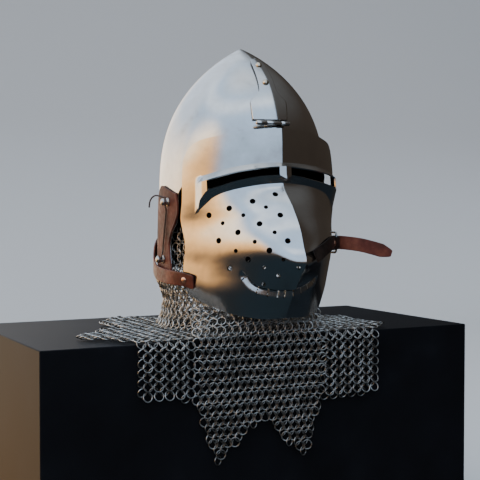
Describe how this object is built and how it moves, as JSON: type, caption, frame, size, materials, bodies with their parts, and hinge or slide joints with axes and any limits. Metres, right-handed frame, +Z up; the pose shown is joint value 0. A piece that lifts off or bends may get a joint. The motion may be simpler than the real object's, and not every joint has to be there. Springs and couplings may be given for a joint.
{
  "type": "pig-faced bascinet with a mail aventail, on a plain display plinth",
  "caption": "Pointed steel helmet with a closed snouted visor, a leather strap and a mail aventail, resting on a plain matt black plinth.",
  "frame": {"origin": "middle of the whole footprint, on the ground under the plinth", "axes": "+Z up, -Y the way the wearer faces, +X towards the wearer's left hand"},
  "size_m": [0.6, 0.381, 0.668],
  "materials": {
    "steel_plate": "polished plate with fine scratches",
    "mail_rings": "round riveted wire rings, dull grey",
    "copper_rivet": "bare peened copper",
    "band_leather": "soft brown harness leather",
    "strap_leather": "dark brown strap leather, satin",
    "waxed_cord": "dark waxed cord",
    "plinth_board": "matt black painted board"
  },
  "bodies": {
    "root": {"aventail_band": "band_leather", "buckle_frame": "steel_plate", "buckle_tab": "strap_leather", "buckle_tongue": "steel_plate", "display_plinth": "plinth_board", "hinge_knuckle_left": "steel_plate", "hinge_knuckle_middle": "steel_plate", "hinge_knuckle_right": "steel_plate", "hinge_leaf": "steel_plate", "hinge_pin": "steel_plate", "hinge_plate": "steel_plate", "hinge_rivet_1": "copper_rivet", "hinge_rivet_2": "copper_rivet", "lacing_cord": "waxed_cord", "mail_collar": "mail_rings", "mail_flap_left": "mail_rings", "mail_flap_right": "mail_rings", "mail_front": "mail_rings", "mail_mantle": "mail_rings", "nape_strap": "strap_leather", "skull": "steel_plate", "strap_rivet": "copper_rivet", "tab_rivet": "copper_rivet", "vervelle_1": "steel_plate", "vervelle_2": "steel_plate", "vervelle_3": "steel_plate", "vervelle_4": "steel_plate", "vervelle_5": "steel_plate", "vervelle_6": "steel_plate", "vervelle_7": "steel_plate", "vervelle_8": "steel_plate", "vervelle_9": "steel_plate", "visor": "steel_plate"}
  },
  "joints": []
}
